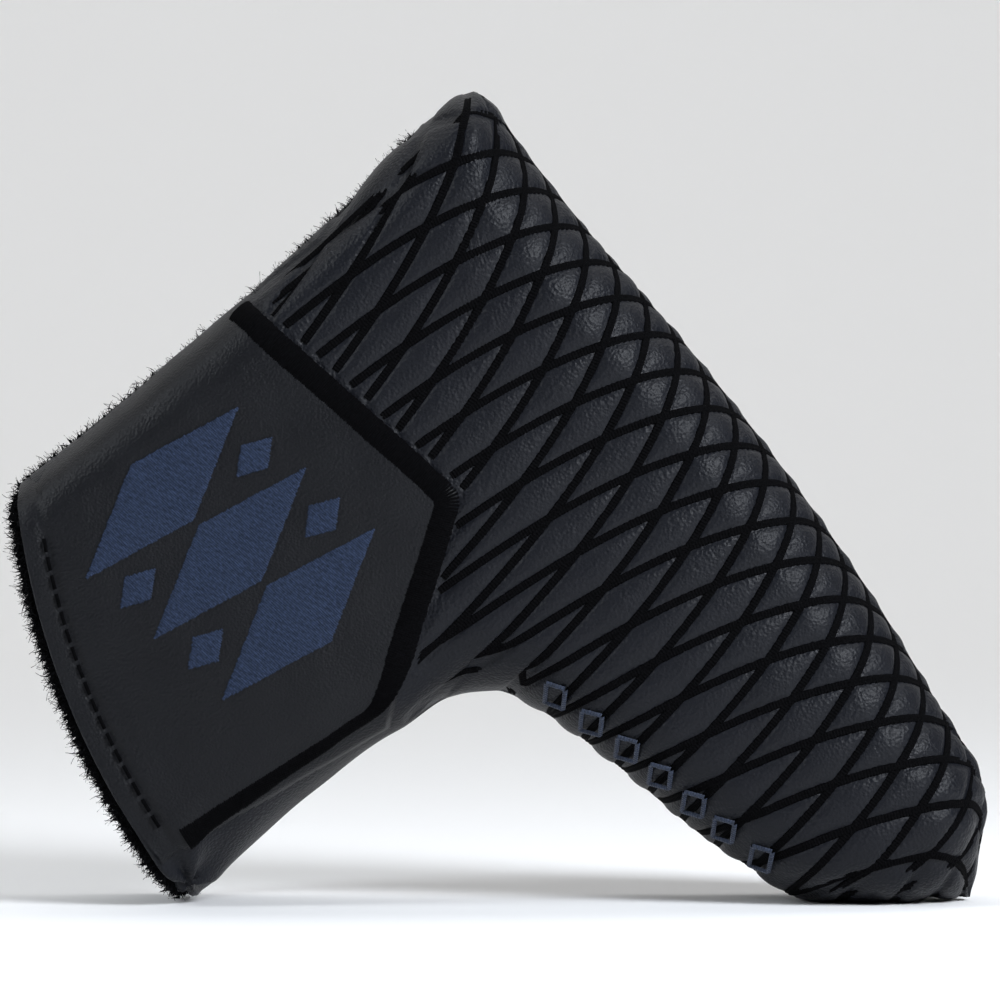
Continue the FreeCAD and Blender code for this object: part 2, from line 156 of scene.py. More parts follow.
def at_station(table, s):
    """A point on the smooth curve through a table of points."""
    i = int(max(0, min(math.floor(s), len(table) - 2)))
    t = s - i
    a, b, c, d = (table[max(0, min(k, len(table) - 1))] for k in (i - 1, i, i + 1, i + 2))
    if t > 1.0:
        return c + (t - 1.0) * (c - b)
    slope_b, slope_c = 0.5 * (c - a), 0.5 * (d - b)
    return ((2 * t**3 - 3 * t**2 + 1) * b + (t**3 - 2 * t**2 + t) * slope_b
            + (3 * t**2 - 2 * t**3) * c + (t**3 - t**2) * slope_c)


def ease(x, start, end):
    t = np.clip((x - start) / (end - start), 0.0, 1.0)
    return t * t * (3.0 - 2.0 * t)


def mix(x, start, end, before, after):
    return before + (after - before) * ease(x, start, end)


def slant(table, s, along):
    """How much longer a round is along a section than square to the edge it belongs to."""
    a = at_station(table, max(0.0, s - SLANT_STEP))
    b = at_station(table, s + SLANT_STEP)
    run = np.hypot(*(b - a))
    return 1.0 / max(SLANT_LEAST, abs(along[0] * (b[1] - a[1]) - along[1] * (b[0] - a[0])) / run)


def section(s):
    p, q = at_station(OUTER, s), at_station(INNER, s)
    length = np.hypot(*(q - p))
    return p, q, length, (q - p) / length


def in_plane(s, x):
    """Pattern points on a section, x from its outer end, with the bow of the mouth."""
    p, _, length, along = section(s)
    x = np.asarray(x, float)
    share = x / length
    bow = MOUTH_BOW * max(0.0, (s - BOW_START) / (MOUTH - BOW_START)) ** 2 * 4.0 * share * (1.0 - share)
    return np.stack([p[0] + along[0] * x - along[1] * bow, p[1] + along[1] * x + along[0] * bow], -1)


def half_section(s, depth, rise, side, arc, flat):
    """Points over one half section: round at the outer edge, flat, round at the inner edge."""
    _, _, length, along = section(s)
    round_p = mix(s, *HEEL_BLEND, mix(s, *TOE_BLEND, TOE_CORNER, SOLE_ROUND), HEEL_ROUND)
    round_q = mix(s, *TOE_BLEND, TOE_CORNER, INNER_ROUND)
    stretch_p, stretch_q = slant(OUTER, s, along), slant(INNER, s, along)
    lip = mix(s, SLIT_START, SLIT_FULL, SEAM_GAP, SLIT_HALF)
    top = HALF_DEPTH - depth
    a = np.linspace(0.0, 0.5 * math.pi, arc)
    x_p = stretch_p * (round_p - (round_p - depth) * np.cos(a))
    w_p = lip + (top - lip) * rise * np.sin(a)
    start, end = stretch_p * round_p, length - stretch_q * round_q
    share = np.linspace(0.0, 1.0, flat + 2)[1:-1]
    x_f = start + (end - start) * share
    level_p, level_q = lip + (top - lip) * rise, SEAM_GAP + (top - SEAM_GAP) * rise
    w_f = level_p + (level_q - level_p) * share
    a = a[::-1]
    x_q = length - stretch_q * (round_q - (round_q - depth) * np.cos(a))
    w_q = SEAM_GAP + (top - SEAM_GAP) * rise * np.sin(a)
    x = np.concatenate([x_p, x_f, x_q])
    w = np.concatenate([w_p, w_f, w_q])
    uv = rounded_toe(in_plane(s, x), depth)
    return np.stack([uv[:, 0], uv[:, 1], side * w], -1)


TOE_TIP = INNER[0]
TOE_TIP_ROUND = 6.5


def rounded_toe(uv, depth):
    """Pattern points with the sharp corner between the toe seam and the inner edge rounded off."""
    along_toe = (OUTER[0] - TOE_TIP) / np.hypot(*(OUTER[0] - TOE_TIP))
    along_edge = (INNER[1] - TOE_TIP) / np.hypot(*(INNER[1] - TOE_TIP))
    half = 0.5 * math.acos(float(along_toe @ along_edge))
    reach = TOE_TIP_ROUND / math.tan(half)
    middle = TOE_TIP + (along_toe + along_edge) * (0.5 * TOE_TIP_ROUND / (math.sin(half) * math.cos(half)))
    off = uv - TOE_TIP
    corner = (off @ along_toe < reach) & (off @ along_edge < reach)
    away = uv - middle
    far = np.maximum(np.hypot(away[:, 0], away[:, 1]), 1e-6)
    pull = np.where(corner & (far > TOE_TIP_ROUND - depth), (TOE_TIP_ROUND - depth) / far, 1.0)
    return middle + away * pull[:, None]


def station_rows(count, last):
    """Stations from the toe seam to the mouth, evenly spaced on the ground, with their rise."""
    toe = [(1.0 - math.cos(a), math.sin(a)) for a in np.linspace(0.0, 0.5 * math.pi, max(5, count // 12))]
    s = np.linspace(1.0, last, 800)
    middle = np.array([0.5 * (at_station(OUTER, k) + at_station(INNER, k)) for k in s])
    run = np.concatenate([[0.0], np.cumsum(np.hypot(*np.diff(middle, axis=0).T))])
    even = np.interp(np.linspace(0.0, run[-1], count), run, s)[1:]
    return toe + [(k, 1.0) for k in even]


def half_grid(side, depth, count, arc, flat, last=MOUTH):
    """A grid of pattern points over one half at a depth under the leather's outside."""
    grid = []
    for s, rise in station_rows(count, last):
        if s < 1.0:
            s = 1.0 - (1.0 - depth / TOE_ROUND) * (1.0 - s)
        grid.append(half_section(s, depth, rise, side, arc, flat))
    return np.array(grid)


def normals_of(grid, side):
    """Unit normals of a grid of row-frame points, pointing out of the cover."""
    along = np.gradient(grid, axis=0)
    across = np.gradient(grid, axis=1)
    n = np.cross(along, across)
    n /= np.maximum(np.linalg.norm(n, axis=-1, keepdims=True), 1e-12)
    middle = n[n.shape[0] // 2, n.shape[1] // 2]
    return n if middle[1] * side > 0 else -n


# ---------------------------------------------------------------- mesh helpers
def mesh_object(name, points, faces, finish, uv=None):
    mesh = bpy.data.meshes.new(name)
    mesh.from_pydata([tuple(p) for p in points], [], faces)
    mesh.validate()
    obj = bpy.data.objects.new(name, mesh)
    bpy.context.scene.collection.objects.link(obj)
    mesh.materials.append(finish)
    mesh.shade_smooth()
    if uv is not None:
        layer = mesh.uv_layers.new(name="UVMap")
        index = np.zeros(len(mesh.loops), int)
        mesh.loops.foreach_get("vertex_index", index)
        layer.data.foreach_set("uv", np.asarray(uv, float)[index].ravel())
    return obj


def grid_faces(rows, cols, flip=False, base=0):
    faces = []
    for i in range(rows - 1):
        for j in range(cols - 1):
            a = base + i * cols + j
            quad = (a, a + 1, a + cols + 1, a + cols)
            faces.append(quad[::-1] if flip else quad)
    return faces


def outward_faces(grid, side):
    """Faces of a grid of row-frame points, turned to look out of the cover."""
    rows, cols = grid.shape[:2]
    i, j = rows // 2, cols // 2
    n = np.cross(grid[i + 1, j] - grid[i, j], grid[i, j + 1] - grid[i, j])
    return grid_faces(rows, cols, n[1] * side > 0)


class Bag:
    """Collects many small bits into one mesh."""

    def __init__(self):
        self.points, self.faces, self.uv, self.count = [], [], [], 0

    def grid(self, grid, uv=None):
        rows, cols = grid.shape[:2]
        self.points.append(grid.reshape(-1, 3))
        self.faces += grid_faces(rows, cols, base=self.count)
        self.uv.append(np.zeros((rows * cols, 2)) if uv is None else uv.reshape(-1, 2))
        self.count += rows * cols

    def piece(self, name, finish):
        return mesh_object(name, np.concatenate(self.points), self.faces, finish, np.concatenate(self.uv))


# ---------------------------------------------------------------- materials
def material(name, colour, roughness, specular=0.5):
    m = bpy.data.materials.new(name)
    m.use_nodes = True
    shader = m.node_tree.nodes["Principled BSDF"]
    shader.inputs["Base Color"].default_value = (*colour, 1.0)
    shader.inputs["Roughness"].default_value = roughness
    shader.inputs["Specular IOR Level"].default_value = specular
    return m, m.node_tree, shader


def node(tree, kind, **values):
    n = tree.nodes.new(kind)
    for key, value in values.items():
        if key in n.inputs:
            n.inputs[key].default_value = value
        else:
            setattr(n, key, value)
    return n


def leather(name, colour, roughness, grain, depth):
    """Grained leather: pebbles from Voronoi cells, fine noise over them, and a little mottling."""
    m, tree, shader = material(name, colour, roughness, 0.2)
    link = tree.links.new
    place = node(tree, "ShaderNodeTexCoord")
    cells = node(tree, "ShaderNodeTexVoronoi", feature="SMOOTH_F1", Scale=grain, Smoothness=0.6)
    fine = node(tree, "ShaderNodeTexNoise", Scale=grain * 2.3, Detail=4.0)
    soft = node(tree, "ShaderNodeTexNoise", Scale=90.0, Detail=3.0)
    for n in (cells, fine, soft):
        link(place.outputs["Object"], n.inputs["Vector"])
    add = node(tree, "ShaderNodeMath", operation="MULTIPLY_ADD")
    add.inputs[1].default_value = 0.45
    link(fine.outputs["Fac"], add.inputs[0])
    link(cells.outputs["Distance"], add.inputs[2])
    bump = node(tree, "ShaderNodeBump", Strength=0.55, Distance=depth)
    link(add.outputs[0], bump.inputs["Height"])
    link(bump.outputs["Normal"], shader.inputs["Normal"])
    tone = node(tree, "ShaderNodeMixRGB", blend_type="MULTIPLY")
    tone.inputs["Fac"].default_value = 0.35
    tone.inputs["Color1"].default_value = (*colour, 1.0)
    ramp = node(tree, "ShaderNodeValToRGB")
    ramp.color_ramp.elements[0].color = (0.55, 0.55, 0.58, 1.0)
    ramp.color_ramp.elements[1].color = (1.35, 1.35, 1.35, 1.0)
    link(soft.outputs["Fac"], ramp.inputs["Fac"])
    link(ramp.outputs["Color"], tone.inputs["Color2"])
    link(tone.outputs["Color"], shader.inputs["Base Color"])
    rough = node(tree, "ShaderNodeMapRange")
    rough.inputs["To Min"].default_value = roughness - 0.06
    rough.inputs["To Max"].default_value = roughness + 0.10
    link(soft.outputs["Fac"], rough.inputs["Value"])
    link(rough.outputs["Result"], shader.inputs["Roughness"])
    return m


RIB_SCALE = 5.2          # a rib for each 0.6 mm, on UVs that run 0.1 for each millimetre


def thread(name, colour, roughness, sheen, twist=5200.0, specular=0.35):
    """Stitching thread: fine twist lines over a slightly uneven colour, and ribs along a laid band."""
    m, tree, shader = material(name, colour, roughness, specular)
    link = tree.links.new
    place = node(tree, "ShaderNodeTexCoord")
    noise = node(tree, "ShaderNodeTexNoise", Scale=twist * 0.35, Detail=3.0)
    link(place.outputs["Object"], noise.inputs["Vector"])
    ribs = node(tree, "ShaderNodeTexWave", Scale=RIB_SCALE, Distortion=0.6)
    link(place.outputs["UV"], ribs.inputs["Vector"])
    ribbed = node(tree, "ShaderNodeBump", Strength=0.7, Distance=0.00016)
    link(ribs.outputs["Fac"], ribbed.inputs["Height"])
    bump = node(tree, "ShaderNodeBump", Strength=0.5, Distance=0.00012)
    link(noise.outputs["Fac"], bump.inputs["Height"])
    link(ribbed.outputs["Normal"], bump.inputs["Normal"])
    link(bump.outputs["Normal"], shader.inputs["Normal"])
    ramp = node(tree, "ShaderNodeValToRGB")
    ramp.color_ramp.elements[0].position = 0.3
    ramp.color_ramp.elements[0].color = tuple(0.6 * c for c in colour) + (1.0,)
    ramp.color_ramp.elements[1].position = 0.7
    ramp.color_ramp.elements[1].color = tuple(1.3 * c for c in colour) + (1.0,)
    link(noise.outputs["Fac"], ramp.inputs["Fac"])
    link(ramp.outputs["Color"], shader.inputs["Base Color"])
    shader.inputs["Sheen Weight"].default_value = sheen
    shader.inputs["Sheen Roughness"].default_value = 0.4
    return m


SHELL = leather("shell_leather", (0.0042, 0.0050, 0.0078), 0.44, 1500.0, 0.00030)
SMOOTH = leather("patch_leather", (0.0040, 0.0045, 0.0062), 0.45, 1900.0, 0.00022)
LIP = leather("binding_leather", (0.0045, 0.005, 0.0066), 0.40, 1500.0, 0.0003)
BLACK_THREAD = thread("black_thread", (0.0018, 0.0018, 0.0022), 0.8, 0.0, specular=0.03)
BLUE_THREAD = thread("blue_thread", (0.020, 0.031, 0.062), 0.7, 0.06, specular=0.12)
# A darker copy of the blue thread for the edge marks: painted shade, as the marks are the same blue thread
# lying in shade on the inner edge
SHADED_BLUE_THREAD = thread("blue_thread_in_shade", (0.017, 0.026, 0.050), 0.62, 0.10)
PILE = thread("plush_pile", (0.0035, 0.0036, 0.0045), 0.85, 0.02, 2600.0, 0.06)
FOAM_MATERIAL = thread("foam", (0.12, 0.12, 0.125), 0.9, 0.0, 1500.0)
CLOTH = thread("pocket_cloth", (0.05, 0.05, 0.052), 0.85, 0.1, 3000.0)


def nickel():
    m, tree, shader = material("nickel", (0.62, 0.62, 0.64), 0.28)
    shader.inputs["Metallic"].default_value = 1.0
    place = node(tree, "ShaderNodeTexCoord")
    brushed = node(tree, "ShaderNodeTexNoise", Scale=900.0, Detail=2.0)
    bump = node(tree, "ShaderNodeBump", Strength=0.15, Distance=0.00005)
    tree.links.new(place.outputs["Object"], brushed.inputs["Vector"])
    tree.links.new(brushed.outputs["Fac"], bump.inputs["Height"])
    tree.links.new(bump.outputs["Normal"], shader.inputs["Normal"])
    return m


NICKEL = nickel()


# ---------------------------------------------------------------- quilting pattern
SOLE_U = OUTER[:9][::-1, 0]
SOLE_V = OUTER[:9][::-1, 1]
EDGE_U = INNER[:6][::-1, 0]
EDGE_V = INNER[:6][::-1, 1]


def sole_height(u):
    """v of the sole seam."""
    return np.interp(u, SOLE_U, SOLE_V)


NO_EDGE = 400.0


def edge_height(u):
    """v of the inner edge of the head leg; far away over the neck, where the leg has no inner edge."""
    return np.where(u < EDGE_U[0], NO_EDGE, np.interp(u, EDGE_U, EDGE_V))


def unrolled(u, v):
    """Surface distance from the sole seam of pattern points on the skin."""
    drop = v - sole_height(u)
    rest = edge_height(u) - v
    flat = 0.5 * math.pi * SOLE_ROUND + drop - SOLE_ROUND
    near_sole = SOLE_ROUND * np.arccos(np.clip(1.0 - drop / SOLE_ROUND, 0.0, 1.0))
    whole = 0.5 * math.pi * (SOLE_ROUND + INNER_ROUND) + drop + rest - SOLE_ROUND - INNER_ROUND
    near_edge = whole - INNER_ROUND * np.arccos(np.clip(1.0 - rest / INNER_ROUND, 0.0, 1.0))
    return np.where(drop < SOLE_ROUND, near_sole, np.where(rest < INNER_ROUND, near_edge, flat))


def rolled(u, s, side):
    """Approximate pattern point on the skin at u and a surface distance from the sole seam."""
    sole, edge = sole_height(u), edge_height(u)
    quarter = 0.5 * math.pi * SOLE_ROUND
    whole = 0.5 * math.pi * (SOLE_ROUND + INNER_ROUND) + edge - sole - SOLE_ROUND - INNER_ROUND
    left = whole - s
    if s < quarter:
        return (u, sole + SOLE_ROUND * (1.0 - math.cos(s / SOLE_ROUND)),
                side * HALF_DEPTH * math.sin(s / SOLE_ROUND))
    if left < 0.5 * math.pi * INNER_ROUND:
        a = max(left, 0.0) / INNER_ROUND
        return (u, edge - INNER_ROUND * (1.0 - math.cos(a)), side * HALF_DEPTH * math.sin(a))
    return (u, sole + SOLE_ROUND + s - quarter, side * HALF_DEPTH)


def spread(s):
    """How far an arch leg has moved along the sole at a surface distance from the seam."""
    return QUILT_SPREAD * (1.0 - np.exp(-s / QUILT_DECAY))


def lean(start):
    """How far an arch that starts at a place on the sole leans towards the toe, for each mm it climbs."""
    change = (QUILT_LEAN_HEEL - QUILT_LEAN_TOE) * (start - QUILT_LEAN_FROM) / QUILT_LEAN_RUN
    return np.maximum(0.0, QUILT_LEAN_HEEL - change)


def arch_starts(u, s, leg):
    """Where on the seam the arch leg through a point starts."""
    start = u - leg * spread(s)
    for _ in range(4):
        start = u - leg * spread(s) - lean(start) * s
    return start


def side_of(point_u, point_v, a, b):
    """Signed distance to the left of the run from a to b."""
    d = (b - a) / np.hypot(*(b - a))
    return d[0] * (point_v - a[1]) - d[1] * (point_u - a[0])


FIELD_HEEL = np.array([-30.0, 68.0])      # the field's edge runs from here by the patch's upper corners
FIELD_CORNER = np.array([93.5, 84.0])
FIELD_NECK = 14.5                         # how far it reaches down the neck past the head's inner edge


def quilt_field(u, v):
    """1 over the quilted head, fading to 0 at the patch and over the neck."""
    over_top = side_of(u, v, PATCH_TOP, FIELD_HEEL)
    over_side = side_of(u, v, FIELD_CORNER, PATCH_TOP)
    outside = np.maximum(over_top, over_side)
    below = v - (HEAD_HEIGHT + FIELD_NECK)
    return ease(outside, -0.5, 2.0) * (1.0 - ease(below, -3.0, 1.5))


def puffed(u, v):
    """Height of the quilted leather over the plain shape."""
    s = unrolled(u, v)
    pillow, clear = 1.0, 1e9
    for leg in (-1, 1):
        phase = np.mod(arch_starts(u, s, leg) / QUILT_PITCH, 1.0)
        slope = QUILT_SPREAD / QUILT_DECAY * np.exp(-s / QUILT_DECAY)
        away = np.minimum(phase, 1.0 - phase) * QUILT_PITCH / np.sqrt(1.0 + slope * slope)
        inside = np.clip((away - BAND_HALF) / (0.5 * QUILT_PITCH - BAND_HALF), 0.0, 1.0)
        pillow = pillow * (inside * (2.0 - inside))
        clear = np.minimum(clear, away)
    shoulder = ease(clear, BAND_HALF - 0.2, BAND_HALF + 0.4)
    return quilt_field(u, v) * (shoulder * (SHOULDER + PUFF * pillow ** 0.6) - GROOVE)


# ---------------------------------------------------------------- leather panels
LEATHER_ROWS, LEATHER_ARC, LEATHER_FLAT = 330, 46, 140
HEM_RADIUS = 0.7
CROWN = 1.3              # how far the padding stands out in the middle
SLOW_WRINKLE, QUICK_WRINKLE = 0.60, 0.10
CREASE_TIP = np.array([NECK_WIDTH - 3.0, neck(0.98)])
CREASE_REACH, CREASE_HEIGHT, CREASE_SINK = 16.0, 0.8, 0.4
SEAM_EASE, SEAM_STITCH = 6.0, 1.2         # distance from the middle seam over which the shape grows to full


def wrinkles(points):
    """Slow undulation of soft leather over its padding, in millimetres."""
    u, v, w = points[..., 0], points[..., 1], points[..., 2]
    slow = np.sin(0.085 * u + 0.045 * v + 0.8) * np.sin(0.075 * v - 0.03 * u + 0.4 + 0.05 * w)
    quick = np.sin(0.31 * u - 0.21 * v) * np.sin(0.27 * v + 0.13 * u + 1.3)
    return SLOW_WRINKLE * slow + QUICK_WRINKLE * quick


def tip_creases(points):
    """Creases where the closed edge of the neck folds at the tip of the mouth."""
    u, v = points[..., 0], points[..., 1]
    reach = np.hypot(u - CREASE_TIP[0], v - CREASE_TIP[1])
    turn = np.arctan2(v - CREASE_TIP[1], u - CREASE_TIP[0])
    folds = CREASE_HEIGHT * np.sin(5.0 * turn + 0.15 * reach) - CREASE_SINK
    return np.exp(-(reach / CREASE_REACH) ** 2) * folds


def padded_shape(grid, side):
    """Row-frame points and normals of a grid once the padding has crowned and creased it."""
    points = row_frame(grid)
    n = normals_of(points, side)
    share = np.linspace(0.0, 1.0, grid.shape[1])
    height = CROWN * np.sin(math.pi * share) ** 1.5 + wrinkles(grid) + tip_creases(grid)
    height = height * np.minimum(1.0, np.abs(grid[..., 2]) / SEAM_EASE)
    points = points + n * (height * 0.001)[..., None]
    return points, normals_of(points, side)


def skin_tree(side):
    """The padded outer shape of one half, for laying trim on it."""
    grid = half_grid(side, 0.0, 300, 30, 80, last=MOUTH + 0.6)
    points, n = padded_shape(grid, side)
    rows, cols = points.shape[:2]
    tree = BVHTree.FromPolygons([tuple(p) for p in points.reshape(-1, 3)], grid_faces(rows, cols))
    return tree, n.reshape(-1, 3), cols


SKIN = {FRONT: skin_tree(FRONT), BACK: skin_tree(BACK)}


def lay(points, side, heights):
    """Places pattern points on the skin of one half, raised along its normal by heights (mm)."""
    tree, normals, cols = SKIN[side]
    placed = row_frame(points).reshape(-1, 3)
    out, up = np.empty_like(placed), np.empty_like(placed)
    for k, p in enumerate(placed):
        spot, _, face, _ = tree.find_nearest(Vector(p))
        i, j = divmod(face, cols - 1)
        n = normals[i * cols + j] + normals[i * cols + j + 1] + normals[(i + 1) * cols + j]
        up[k] = n / np.linalg.norm(n)
        out[k] = spot
    h = np.broadcast_to(np.asarray(heights, float), np.shape(points)[:-1]).reshape(-1, 1) * 0.001
    return (out + up * h).reshape(np.shape(points)), up.reshape(np.shape(points))


def leather_panel(side, name):
    grid = half_grid(side, 0.0, LEATHER_ROWS, LEATHER_ARC, LEATHER_FLAT)
    points, n = padded_shape(grid, side)
    u, v, w = grid[..., 0], grid[..., 1], grid[..., 2]
    points = points + n * (puffed(u, v) * np.minimum(1.0, np.abs(w) / SEAM_STITCH) * 0.001)[..., None]
    hem = []
    back = points[-1] - points[-4]
    back /= np.linalg.norm(back, axis=-1, keepdims=True)
    for a in np.linspace(0.0, math.pi, 7)[1:]:
        out = HEM_RADIUS * math.sin(a) * 0.001
        down = HEM_RADIUS * (1.0 - math.cos(a)) * 0.001
        hem.append(points[-1] + back * out - n[-1] * down)
    hem.append(hem[-1] - back * 0.004)
    points = np.concatenate([points, np.array(hem)])
    piece = mesh_object(name, points.reshape(-1, 3), outward_faces(points, side), SHELL)
    return piece


def ply(side, outer_depth, inner_depth, name, finish, last=MOUTH, rough=0.0):
    """A closed soft ply between two depths."""
    outer = row_frame(half_grid(side, outer_depth, 90, 10, 30, last))
    inner = row_frame(half_grid(side, inner_depth, 90, 10, 30, last))
    if rough:
        inner = inner + rng.normal(0.0, rough * 0.001, inner.shape)
    rows, cols = outer.shape[:2]
    points = np.concatenate([outer.reshape(-1, 3), inner.reshape(-1, 3)])
    faces = grid_faces(rows, cols) + grid_faces(rows, cols, True, rows * cols)
    rim = [i * cols for i in range(rows)] + [(rows - 1) * cols + j for j in range(1, cols)]
    rim += [i * cols + cols - 1 for i in range(rows - 2, -1, -1)] + list(range(cols - 2, 0, -1))
    for a, b in zip(rim, rim[1:] + rim[:1]):
        faces.append((a, b, b + rows * cols, a + rows * cols))
    return mesh_object(name, points, faces, finish)


# ---------------------------------------------------------------- stitched trim
def ribbon(bag, path, side, half_width, profile):
    """A band laid on the skin along pattern points. profile: (share of half width, height in mm)."""
    path = np.asarray(path, float)
    centre, up = lay(path, side, 0.0)
    along = np.gradient(centre, axis=0)
    along /= np.maximum(np.linalg.norm(along, axis=-1, keepdims=True), 1e-12)
    across = np.cross(along, up)
    rows = []
    for share, height in profile:
        rows.append(centre + across * (share * half_width * 0.001) + up * (height * 0.001))
    grid = np.stack(rows, 1)
    run = np.concatenate([[0.0], np.cumsum(np.linalg.norm(np.diff(centre, axis=0), axis=-1))]) * 1000.0
    shares = np.array([share for share, _ in profile])
    uv = np.stack(np.broadcast_arrays(run[:, None] * 0.1, shares[None, :]), -1)
    bag.grid(grid, uv)


# Across a quilting band: two rows of thread with a furrow between them
BAND_PROFILE = [(-1.0, -0.50), (-0.88, -0.24), (-0.5, -0.06), (-0.1, -0.24), (0.1, -0.24), (0.5, -0.06),
                (0.88, -0.24), (1.0, -0.50)]
THREAD_HALF = 0.85       # half width of a band's thread
FIRST_ARCH, LAST_ARCH = -3, 23
BAND_START, BAND_END, BAND_STEP = 0.6, 112.0, 0.7     # surface distances from the sole seam
BAND_FIRST_U, BAND_LAST_U = -2.0, head(1.0) - 1.0
FAR_SEAM, NEAR_SEAM = 20.0, 0.8           # a band stops this far from the sole, this near the inner seam
FIELD_LEAST = 0.35
SHORTEST_RUN = 3


def quilting(side, name):
    """Every band of the quilting on one half, each leg of each arch in turn."""
    bag = Bag()
    for leg in (-1, 1):
        for k in range(FIRST_ARCH, LAST_ARCH + 1):
            start = k * QUILT_PITCH
            run = []
            for s in np.arange(BAND_START, BAND_END, BAND_STEP):
                u = start + float(lean(start)) * s + leg * float(spread(s))
                if not BAND_FIRST_U < u < BAND_LAST_U:
                    continue
                u, v, w = rolled(u, s, side)
                at_seam = s > FAR_SEAM and abs(w) < NEAR_SEAM
                if quilt_field(u, v) > FIELD_LEAST and not at_seam:
                    run.append((u, v, w))
                elif len(run) > SHORTEST_RUN:
                    ribbon(bag, run, side, THREAD_HALF, BAND_PROFILE)
                    run = []
            if len(run) > SHORTEST_RUN:
                ribbon(bag, run, side, THREAD_HALF, BAND_PROFILE)
    piece = bag.piece(name, BLACK_THREAD)
    return piece


def resample(points, step):
    """Points evenly spaced along a path, about a step apart."""
    points = np.asarray(points, float)
    run = np.concatenate([[0.0], np.cumsum(np.hypot(*np.diff(points[:, :2], axis=0).T))])
    even = np.linspace(0.0, run[-1], max(2, int(round(run[-1] / step)) + 1))
    return np.stack([np.interp(even, run, points[:, k]) for k in range(points.shape[1])], -1)


SATIN_HALF = 0.24        # half width of one satin thread
SATIN_ROUND = np.array([-0.14, 0.06, -0.14])
SATIN_PITCH = 0.42


def stitch_row(bag, path, side, half_width, base, lift, wander):
    """Satin stitch: one rounded thread after another, each lying across the path."""
    path = resample(path, SATIN_PITCH)
    along = np.gradient(path, axis=0)
    along /= np.linalg.norm(along, axis=-1, keepdims=True)
    square = np.stack([-along[:, 1], along[:, 0]], -1)
    shares = np.array([-1.0, -0.8, -0.35, 0.35, 0.8, 1.0])
    rise = np.array([0.0, 0.55, 1.0, 1.0, 0.55, 0.0])
    for k in range(len(path)):
        ends = 1.0 + wander * rng.uniform(-1.0, 1.0) / half_width
        centre = path[k] + square[k] * shares[:, None] * half_width * ends
        left, right = centre - along[k] * SATIN_HALF, centre + along[k] * SATIN_HALF
        flat = np.stack([left, centre, right], 1)
        height = base * tucked(flat) + lift * rise[:, None] + SATIN_ROUND[None, :]
        bag.grid(lay(skin_points(flat, side), side, height)[0])


def heel_inset(flat):
    """How far pattern points lie inside the heel edge."""
    return flat[..., 0] - np.interp(flat[..., 1], OUTER[8:, 1], OUTER[8:, 0])


TUCK_START, TUCK_FULL = 0.5, 6.0
HEEL_LIP_START = 40.0    # v where the sole's round gives way to the lip's


def tucked(flat):
    """0 at the heel edge, where the patch runs flush into the lip, rising to 1 inside it."""
    return ease(heel_inset(flat), TUCK_START, TUCK_FULL)


def skin_points(flat, side):
    """Pattern points near the skin over flat (u, v) points, rounded off at the heel edge."""
    u, v = flat[..., 0], flat[..., 1]
    inset = np.clip(heel_inset(flat) / HEEL_ROUND, 0.0, 1.0)
    w = SLIT_HALF + (HALF_DEPTH - SLIT_HALF) * np.sqrt(np.maximum(0.0, 1.0 - (1.0 - inset) ** 2))
    w = np.where(v > HEEL_LIP_START, w, HALF_DEPTH)
    return np.stack([u, v, side * w], -1)


def mouth_line(inset, x_from, x_to, count=60):
    """Pattern points beside the mouth edge, at an inset from it."""
    x = np.linspace(x_from, x_to, count)
    near, far = in_plane(MOUTH, x), in_plane(MOUTH - 1.0, x)
    back = far - near
    return near + back / np.linalg.norm(back, axis=-1, keepdims=True) * inset


BORDER_HALF, BORDER_BASE, BORDER_LIFT = 2.6, 1.0, 0.6
BORDER_WANDER = 0.12     # how far a stitch's end strays
CORNER_STEPS = 10        # path steps either side over which a corner is rounded


def border():
    """Wide satin border round three sides of the patch, laid stitch by stitch."""
    bag = Bag()
    start = PATCH_TOP_LEFT + np.array([0.6, 0.0])
    corners = [start + (0.4, BORDER_HALF), PATCH_TOP + (-0.4, BORDER_HALF),
               PATCH_RIGHT + (-BORDER_HALF - 0.6, 0.6), PATCH_LOW + (-BORDER_HALF, 0.5)]
    path = resample(corners, 0.2)
    count = 2 * CORNER_STEPS + 1
    window = np.ones(count) / float(count)
    rounded = [np.convolve(path[:, k], window, "valid") for k in (0, 1)]
    path[CORNER_STEPS:-CORNER_STEPS] = np.stack(rounded, -1)
    stitch_row(bag, path, FRONT, BORDER_HALF, BORDER_BASE, BORDER_LIFT, BORDER_WANDER)
    piece = bag.piece("patch_border", BLACK_THREAD)
    return piece


def emblem_point(a, b):
    """The pattern point at a place in the emblem's own tilted axes."""
    c, s = math.cos(EMBLEM_TILT), math.sin(EMBLEM_TILT)
    return EMBLEM_CENTRE + np.array([a * c - b * s, a * s + b * c])


def crossings(shape, b):
    """Where a row of stitches at height b enters and leaves a shape."""
    hits = []
    for (x1, y1), (x2, y2) in zip(shape, shape[1:] + shape[:1]):
        if (y1 <= b) != (y2 <= b):
            hits.append(x1 + (b - y1) * (x2 - x1) / (y2 - y1))
    return sorted(hits)


PATCH_RISE, PATCH_CUT = 1.25, 0.3
EMBLEM_BASE, EMBLEM_LIFT = 1.30, 0.10
ROW_PITCH, STITCH_RUN = 0.40, 3.4
ROW_HALF = 0.24
ROW_ROUND = np.array([-0.20, 0.0, -0.20])


